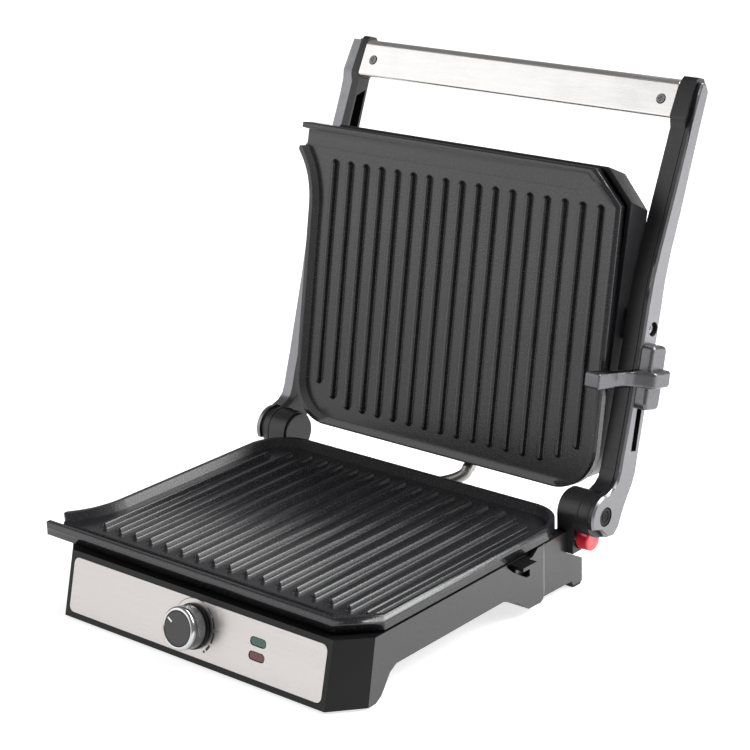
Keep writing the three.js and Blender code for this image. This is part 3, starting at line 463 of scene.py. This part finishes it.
def pocket_outline(d=0.0, tilt=0.0):
    r = CR - 3.6 - d
    p = [(-175.0, LIP + d), (120.4 - 0.4 * d, LIP + d), (146.4 - d, 28.4 + 0.4 * d)]
    p += arc(PW - CR, PD - CR, r, 0, 90, 26)
    p += arc(-(PW - CR), PD - CR, r, 90, 180, 26)
    q = curve_through([(-146.4, 66), (-147.8, 53), (-151.2, 40), (-156.2, 29.2), (-162.2, 19.6)], 5)
    p += [(x + d, y + 0.3 * d) for x, y in q]
    p += [(-175.0, 17.6)]
    return p


def flat_solid(outline_lo, outline_hi, h0, h1):
    v, f = rings_mesh([[(x, s, h0) for x, s in outline_lo], [(x, s, h1) for x, s in outline_hi]])
    return v, f


def plate(name, where, body, node):
    o = make(name, *flat_solid(plate_outline(), plate_outline(), THICK, 0.0), None, None, None)
    t = make("t1", *flat_solid(pocket_outline(1.6), pocket_outline(-0.11), FLOOR, 0.5), None, None, None)
    boolean(o, t)
    tr = [(-175, 5.6), (102, 5.6)] + arc(106.6, 12.3, 6.7, -90, 90, 14)[1:] + [(102, 19.0), (-158, 19.0), (-175, 16.5)]
    t = make("t2", *flat_solid(tr, tr, TROUGH, FLOOR + 0.4), None, None, None)
    boolean(o, t)
    bm = bmesh.new()
    bm.from_mesh(o.data)
    bmesh.ops.remove_doubles(bm, verts=bm.verts, dist=0.004)
    bmesh.ops.dissolve_limit(bm, angle_limit=0.4 * DEG, verts=bm.verts, edges=bm.edges)
    bm.to_mesh(o.data)
    bm.free()
    # fillets of the rim, the walls and the trough
    soften_mm = o.modifiers.new("edge", "BEVEL")
    soften_mm.width = 0.95
    soften_mm.segments = 3
    soften_mm.limit_method = "ANGLE"
    soften_mm.angle_limit = 32 * DEG
    dg = bpy.context.evaluated_depsgraph_get()
    me = bpy.data.meshes.new_from_object(o.evaluated_get(dg))
    bpy.data.objects.remove(o)
    verts = [Vector(v.co) for v in me.vertices]
    faces = [tuple(p.vertices) for p in me.polygons]
    # ribs, each a closed ridge with a filleted foot, rounded ends and a softened crown
    profile = [(3.5, -0.6), (3.5, 0.0), (3.12, 0.07), (2.84, 0.3), (2.64, 0.72), (1.84, 2.9), (1.68, 3.2), (1.44, 3.48), (1.12, 3.68), (0.75, 3.8), (0.38, 3.86), (0.06, 3.87)]
    for i in range(17):
        x, edge = (i - 8) * 16.33, min(i, 16 - i)
        s0, s1 = 27 + 2.6, {0: 213, 1: 223}.get(edge, 229) - 2.6
        rings = []
        for d, h in profile:
            ring = arc(x, s1, d, 0, 180, 9) + arc(x, s0, d, 180, 360, 9)
            rings.append([Vector((a, b, FLOOR + h)) for a, b in ring])
        v, f = rings_mesh(rings)
        base = len(verts)
        verts += v
        faces += [tuple(base + k for k in q) for q in f]
    o = make(name, [where(*v) for v in verts], faces, "nonstick", body, "nonstick")
    n = o.modifiers.new("normals", "WEIGHTED_NORMAL")
    n.keep_sharp = True
    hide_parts(node)
    return o


plate("cooking_plate_lower", lower, "base", "lower_plate")
plate("cooking_plate_upper", upper, "upper_head", "upper_plate")

# ------------------------------------------------------------------ knob: knurled skirt, bright shoulder, bezel
NF = Vector((0, -0.9686, 0.2486))
UP = Vector((0, 0.2486, 0.9686))
FASCIA = Vector((0, -5, -12.4))


def on_panel(x, v, w):
    """x across, v up from the panel's top edge, w out of it."""
    q = Vector((x, 0, 0)) + FASCIA + UP * v + NF * w
    return (q + OFF) * MM


KX, KV, KR, KH = 1.0, 24.4, 16.0, 16.8


def knob_ring():
    teeth, sub = 66, 6
    n = teeth * sub
    prof = [(10.0, 3.05, 0, 0), (14.4, 3.05, 0, 0), (14.9, 3.3, 0, 0)]
    # five staggered rows of short bars round the skirt
    for row in range(5):
        w0, ph = 3.45 + 1.72 * row, 0.5 * (row % 2)
        prof += [(15.0, w0, 0, ph), (15.0, w0 + 0.28, 1, ph), (15.0, w0 + 1.18, 1, ph), (15.0, w0 + 1.46, 0, ph)]
    prof += [(14.9, 12.15, 0, 0), (14.7, 12.4, 0, 0), (15.4, 12.6, 0, 0), (15.75, 13.1, 0, 0), (15.8, 14.6, 0, 0),
             (15.6, 15.4, 0, 0), (15.0, 16.3, 0, 0), (14.2, 16.75, 0, 0), (13.6, 16.8, 0, 0), (13.15, 16.6, 0, 0), (12.95, 16.1, 0, 0), (12.8, 14.8, 0, 0), (10.0, 14.8, 0, 0)]
    rings = []
    for r, w, k, ph in prof:
        ring = []
        for i in range(n):
            t = 2 * math.pi * i / n
            wob = 0.85 * max(0.0, math.sin(math.pi * ((i / sub + ph) % 1.0))) * k
            ring.append(on_panel(KX + (r + wob) * math.cos(t), -KV + (r + wob) * math.sin(t), w))
        rings.append(ring)
    v, f = rings_mesh(rings + [rings[0]], closed=False)
    o = make("knob_ring_detail", v, f, "chrome", "knob", "knob_chrome")
    # painted shade: the faces in the grooves of the knurl get a dark copy of the plating, standing in for the shade
    # between its crests
    o.data.materials.append(M["knurl_shade"])
    axis_at = (Vector((KX, 0, 0)) + FASCIA + UP * -KV + OFF) * MM
    for p in o.data.polygons:
        d = p.center - axis_at
        w = d.dot(NF)
        rad = (d - NF * w).length / MM
        if 3.3 < w / MM < 12.3 and rad < 15.42:
            p.material_index = 1
    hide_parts("knob_ring")
    s = o.modifiers.new("normals", "WEIGHTED_NORMAL")
    s.keep_sharp = True
    return o


knob_ring()

# ------------------------------------------------------------------ handle sleeve
HA, HU = (365.4, 278.6), (0.4772, 0.8788)
HL, HT = 31.4, 15.0


def hand(u, t):
    return HA[0] + HU[0] * u + HU[1] * t, HA[1] + HU[1] * u - HU[0] * t


def sleeve_ring(e):
    r = lambda q: max(0.3, q - e)
    pts = []
    for cu, ct, rad, a0 in ((e + r(2.4), e + r(2.4), r(2.4), 180), (HL - e - r(6), e + r(6), r(6), 270), (HL - e - r(6), HT - e - r(6), r(6), 0), (e + r(2.4), HT - e - r(2.4), r(2.4), 90)):
        pts += arc(cu, ct, rad, a0, a0 + 90, 10)
    return [hand(u, t) for u, t in pts]


def handle_sleeve():
    X0 = 153.0
    out, inn = sleeve_ring(0.0), sleeve_ring(1.2)
    xs = [-X0, -X0 + 0.35, -146, 146, X0 - 0.35, X0]
    rings = []
    for x, e in ((-X0, 0.25), (-X0 + 0.3, 0.0), (X0 - 0.3, 0.0), (X0, 0.25)):
        rings.append([P(x, y, z) for y, z in sleeve_ring(e)])
    rings.append([P(X0, y, z) for y, z in inn])
    rings.append([P(-X0, y, z) for y, z in inn])
    rings.append(rings[0])
    v, f = rings_mesh(rings, closed=False)
    o = make("handle_sleeve", v, f, "handle", None, None)
    for sgn in (-1, 1):
        y, z = hand(13.6, 0)
        d = Vector((0, HU[1], -HU[0]))
        side = Vector((1, 0, 0))
        up = d.cross(side)
        c = Vector((sgn * 141.2, y, z))
        rr = [[(c + side * (3.9 * math.cos(a)) + up * (3.9 * math.sin(a)) + d * w + OFF) * MM for a in [2 * math.pi * k / 32 for k in range(32)]] for w in (-4.0, 4.0)]
        t = make("t3", *rings_mesh(rr), None, None, None)
        boolean(o, t)
    dress(o, "handle")
    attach(o, "arm_frame")
    for p in o.data.polygons:
        p.use_smooth = True
    soften(o, 0.25, 2, 50)
    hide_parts("handle_bar")
    return o


handle_sleeve()


# ------------------------------------------------------------------ conduit: wound metal hose, in a lower and an upper length
def conduit_path():
    y1, z1 = swing(254 + 1.7, GAP_CLOSED + 24)
    y2, z2 = swing(249.2 + 1.7, GAP_CLOSED + 24)
    pts = [(-22, 219.4, -24), (-22, 226, -24), (-21, 240, -23.5), (-15, 256, -22), (-4, 268, -20), (9, 276, -16.5), (18, 281, -11), (20.6, 283.4, -5), (20, y1, z1), (20, y2, z2)]
    return [Vector(p) for p in curve_through(pts, 24)]


def hose(name, path, r_in, r_out, pitch, phase=0.0):
    """A tube with the stepped turns of a wound metal hose."""
    d = [0.0]
    for a, b in zip(path, path[1:]):
        d.append(d[-1] + (b - a).length)
    total, step = d[-1], pitch / 5
    n = max(4, int(total / step))
    rings, k = [], 0
    normal = Vector((0, 0, 1))
    sides = 20
    first = None
    for i in range(n + 1):
        s = total * i / n
        while k < len(d) - 2 and d[k + 1] < s:
            k += 1
        t = (s - d[k]) / max(1e-9, d[k + 1] - d[k])
        c = path[k].lerp(path[k + 1], min(1, t))
        tan = (path[min(k + 1, len(path) - 1)] - path[max(k - 1, 0)]).normalized()
        normal = (normal - tan * normal.dot(tan)).normalized()
        bi = tan.cross(normal)
        ring = []
        for j in range(sides):
            a = 2 * math.pi * j / sides
            f = ((s + phase) / pitch + j / sides) % 1.0
            r = r_out if 0.12 < f < 0.72 else (r_in if f > 0.84 or f < 0.02 else 0.5 * (r_in + r_out))
            ring.append((c + (normal * math.cos(a) + bi * math.sin(a)) * r + OFF) * MM)
        rings.append(ring)
    v, f = rings_mesh(rings)
    return make(name, v, f, "conduit", None, None)


path = conduit_path()
cut = int(len(path) * 0.62)
c_low = hose("conduit_hose_lower", path[: cut + 1], 4.62, 4.95, 1.7)
c_up = hose("conduit_hose_upper", path[cut:], 4.62, 4.95, 1.7)
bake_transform(c_low)
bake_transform(c_up)
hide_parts("conduit")


# ------------------------------------------------------------------ lock lever: a grip block along the arm and a curved claw across it
def fillet(pts, rad, n=6):
    """Rounded corners on a closed outline; the radius shrinks where an edge is short."""
    out, m = [], len(pts)
    for i in range(m):
        a, b, c = Vector(pts[i - 1]), Vector(pts[i]), Vector(pts[(i + 1) % m])
        u, v = (a - b), (c - b)
        lu, lv = u.length, v.length
        u, v = u / lu, v / lv
        ang = math.acos(max(-1, min(1, u.dot(v))))
        if ang > math.radians(172):
            out.append(tuple(b))
            continue
        t = min(rad[i] / math.tan(ang / 2), 0.48 * lu, 0.48 * lv)
        for k in range(n + 1):
            q = k / n
            p = (b + u * t) * (1 - q) ** 2 + b * 2 * q * (1 - q) + (b + v * t) * q ** 2
            out.append(tuple(p))
    return out


def inset(pts, e):
    out, m = [], len(pts)
    area = sum(pts[i][0] * pts[(i + 1) % m][1] - pts[(i + 1) % m][0] * pts[i][1] for i in range(m))
    sg = 1 if area > 0 else -1
    for i in range(m):
        a, b, c = Vector(pts[i - 1]), Vector(pts[i]), Vector(pts[(i + 1) % m])
        u, v = (b - a), (c - b)
        if u.length < 1e-6 or v.length < 1e-6:
            u = v = (c - a)
        n1 = Vector((-u.y, u.x)).normalized() * sg
        n2 = Vector((-v.y, v.x)).normalized() * sg
        h = (n1 + n2)
        h = h / max(0.6, h.length_squared / 2)
        out.append((b.x + h.x * e, b.y + h.y * e))
    return out


def lock_lever():
    verts, faces = [], []

    def put(rings):
        v, f = rings_mesh(rings)
        k = len(verts)
        verts.extend(v)
        faces.extend(tuple(k + i for i in q) for q in f)

    o_blk = Vector((0, 307.6, 95))
    av, aw = Vector((0, 0.9696, -0.2447)), Vector((0, 0.2447, 0.9696))
    base = fillet([(-10, -24.5), (10, -24.5), (10, 24.5), (-10, 24.5)], [5.5] * 4, 8)
    rings = []
    for x, e in ((171.72, 0.4), (172.1, 0.0), (178.6, 0.0), (179.8, 0.2), (180.7, 0.65), (181.3, 1.25), (181.65, 2.0), (181.8, 3.0)):
        rings.append([(o_blk + Vector((x, 0, 0)) + av * a + aw * b + OFF) * MM for a, b in inset(base, e)])
    put(rings)
    o_sl = Vector((0, 307, 95))
    lu, lw = Vector((0, -0.985, 0.1736)), Vector((0, 0.1736, 0.985))
    plan = [(171.9, -10.8), (188.2, -10.8), (188.2, 11.2), (178.6, 14.2), (173.4, 16.9), (169.6, 23.4), (168, 31), (167.4, 41), (166.6, 53), (153.4, 53), (153.4, 47.9), (160.6, 47.4), (162.5, 36), (163.8, 26), (167.2, 18.6), (171.9, 14.0)]
    rad = [0.4, 3.4, 4.5, 4, 6, 6, 6, 6, 1.7, 1.5, 1.2, 2.2, 5, 6, 6, 1.2]
    plan = fillet(plan, rad, 7)
    rings = []
    for w, e in ((-6.2, 2.1), (-6.12, 1.5), (-5.85, 0.9), (-5.3, 0.38), (-4.5, 0.08), (-3.8, 0.0), (3.8, 0.0), (4.5, 0.08), (5.3, 0.38), (5.85, 0.9), (6.12, 1.5), (6.2, 2.1)):
        rings.append([(o_sl + Vector((x, 0, 0)) + lu * b + lw * w + OFF) * MM for x, b in inset(plan, e)])
    put(rings)
    # the lever wears the darker, shaded copy of the silver paint
    o = make("lock_lever_detail", verts, faces, "lever", "lever", "silver_plastic")
    n = o.modifiers.new("normals", "WEIGHTED_NORMAL")
    n.keep_sharp = True
    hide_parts("lock_lever")
    return o


lock_lever()


# ------------------------------------------------------------------ release button and its spring
def revolve_x(name, profile, cy, cz, key, body, slot_name, n=48):
    rings = []
    for x, r in profile:
        rings.append([P(x, cy + r * math.cos(2 * math.pi * i / n), cz + r * math.sin(2 * math.pi * i / n)) for i in range(n)])
    return make(name, *rings_mesh(rings), key, body, slot_name)


o = revolve_x("release_button_cap", [(154.2, 5.2), (154.2, 8.5), (154.5, 8.7), (162.7, 8.7), (163.4, 8.55), (163.9, 8.15), (164.25, 7.4), (164.4, 6.4), (164.35, 4.0), (164.25, 1.0), (164.24, 0.2)], 251.0, -20.4, "red", "button", "red_plastic")
n_ = o.modifiers.new("normals", "WEIGHTED_NORMAL")
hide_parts("release_button")


def coil(name, x0, x1, cy, cz, R, r, turns, key, body, slot_name):
    n, sides, rings = turns * 22, 8, []
    for i in range(n + 1):
        t = i / n
        a = t * turns * 2 * math.pi
        c = Vector((x0 + (x1 - x0) * t, cy + R * math.cos(a), cz + R * math.sin(a)))
        out = Vector((0, math.cos(a), math.sin(a)))
        side = Vector((1, 0, 0))
        rings.append([(c + out * (r * math.cos(b)) + side * (r * math.sin(b)) + OFF) * MM for b in [2 * math.pi * k / sides for k in range(sides)]])
    return make(name, *rings_mesh(rings), key, body, slot_name)


o = coil("button_return_spring", 143.2, 153.6, 251.0, -20.4, 3.1, 0.45, 6, "zinc", None, "screw_steel")
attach(o, "base")
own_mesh(o)
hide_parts("button_spring")


# ------------------------------------------------------------------ printed marks on the control panel
def strip(name, pts, half, w0=0.15, w1=0.2, key="ink"):
    """A thin raised band along a line on the panel; half is its half width at each point."""
    verts, faces = [], []
    n = len(pts)
    for i, (x, v) in enumerate(pts):
        a = Vector(pts[max(0, i - 1)])
        b = Vector(pts[min(n - 1, i + 1)])
        t = (b - a).normalized()
        q = Vector((-t.y, t.x)) * half[i]
        for (dx, dv), w in (((q.x, q.y), w0), ((q.x, q.y), w1), ((-q.x, -q.y), w1), ((-q.x, -q.y), w0)):
            verts.append(on_panel(x + dx, v + dv, w))
    for i in range(n - 1):
        for k in range(4):
            m = (k + 1) % 4
            faces.append((4 * i + k, 4 * i + m, 4 * i + 4 + m, 4 * i + 4 + k))
    faces.append((0, 1, 2, 3))
    faces.append((4 * n - 1, 4 * n - 2, 4 * n - 3, 4 * n - 4))
    return make(name, verts, faces, key, "base", "black_plastic", smooth=False)


R0 = 20.2


def round_knob(a, q=R0):
    return KX + q * math.cos(a * DEG), -KV + q * math.sin(a * DEG)


strip("mark_arc", [round_knob(148 - 80 * k / 36) for k in range(37)], [0.14 + 0.005 * k for k in range(37)])
for k, (a0, a1, w) in enumerate(((55, 39, 0.42), (32, 8.5, 0.62), (1.6, -22.5, 0.78), (-29, -43, 0.92))):
    strip("mark_dash_%d" % (k + 1), [round_knob(a0 + (a1 - a0) * j / 10) for j in range(11)], [w * (0.94 + 0.012 * j) for j in range(11)])


def disc(name, x, v, r, key="ink"):
    rr = [[on_panel(x + q * math.cos(2 * math.pi * i / 28), v + q * math.sin(2 * math.pi * i / 28), w) for i in range(28)] for w, q in ((0.15, r), (0.19, r), (0.2, r - 0.03))]
    return make(name, *rings_mesh(rr), key, "base", "black_plastic", smooth=False)


disc("mark_dot_low", *round_knob(61), 0.32)
disc("mark_dot_high", *round_knob(-50), 1.0)

# ------------------------------------------------------------------ floor, light, camera
def lamp(name, loc, size, power, color=(1, 1, 1), target=(0, 0, 0.15), size_y=None):
    d = bpy.data.lights.new(name, "AREA")
    d.energy = power
    d.color = color
    d.shape = "RECTANGLE"
    d.size = size
    d.size_y = size_y or size
    o = bpy.data.objects.new(name, d)
    o.location = loc
    o.rotation_euler = (Vector(target) - Vector(loc)).to_track_quat("-Z", "Y").to_euler()
    bpy.context.scene.collection.objects.link(o)
    o.visible_camera = False
    return o


fm, fnt, fbs = new_mat("floor_pale")
fn_ = Net(fnt)
fv = fn_.coords()
fbs.inputs["Specular IOR Level"].default_value = 0.15
fbs.inputs["Roughness"].default_value = 0.9
fbs.inputs["Emission Color"].default_value = (1, 1, 1, 1)
fbs.inputs["Emission Strength"].default_value = 0.72
fn_.link(fn_.ramp(fn_.noise(fv, 3.0, 2.0), [(0.3, (0.6, 0.6, 0.6)), (0.7, (0.62, 0.62, 0.62))]), fbs.inputs["Base Color"])
me = bpy.data.meshes.new("floor")
S = 12.0
me.from_pydata([(-S, -S, 0), (S, -S, 0), (S, S, 0), (-S, S, 0)], [], [(0, 1, 2, 3)])
floor = bpy.data.objects.new("floor", me)
me.materials.append(fm)
bpy.context.scene.collection.objects.link(floor)
floor.location = (0, 0, -0.0004)
bpy.context.scene.view_settings.view_transform = "Standard"

world = bpy.data.worlds.new("studio")
bpy.context.scene.world = world
world.use_nodes = True
world.node_tree.nodes["Background"].inputs["Color"].default_value = (1, 1, 1, 1)
world.node_tree.nodes["Background"].inputs["Strength"].default_value = 0.3

lamp("light_right_floor", (0.95, 0.6, 1.15), 0.9, 31, target=(0.5, 0.35, 0.0))
lamp("light_right", (1.5, 0.9, 0.55), 1.2, 12, size_y=0.8)
lamp("light_left_front", (-1.35, -1.6, 1.05), 2.4, 26, size_y=2.0, target=(0, 0, 0.3))
lamp("light_rear_top", (0.05, 1.5, 1.85), 1.5, 30, size_y=0.7, target=(0, -0.1, 0.05))

az, el, roll = 40.89 * DEG, 19.28 * DEG, -2.0 * DEG
r = Vector((math.cos(az), math.sin(az), 0))
u = Vector((-math.sin(az) * math.sin(el), math.cos(az) * math.sin(el), math.cos(el)))
bk = Vector((math.sin(az) * math.cos(el), -math.cos(az) * math.cos(el), math.sin(el)))
r2 = r * math.cos(roll) + u * math.sin(roll)
u2 = -r * math.sin(roll) + u * math.cos(roll)
cam_data = bpy.data.cameras.new("camera")
cam_data.sensor_fit = "HORIZONTAL"
cam_data.sensor_width = 36.0
cam_data.lens = 106.96
cam_data.clip_start = 0.05
cam_data.clip_end = 60
cam = bpy.data.objects.new("camera", cam_data)
cam.matrix_world = Matrix(((r2.x, u2.x, bk.x, 1.03883), (r2.y, u2.y, bk.y, -1.19337), (r2.z, u2.z, bk.z, 0.71616), (0, 0, 0, 1)))
bpy.context.scene.collection.objects.link(cam)
bpy.context.scene.camera = cam
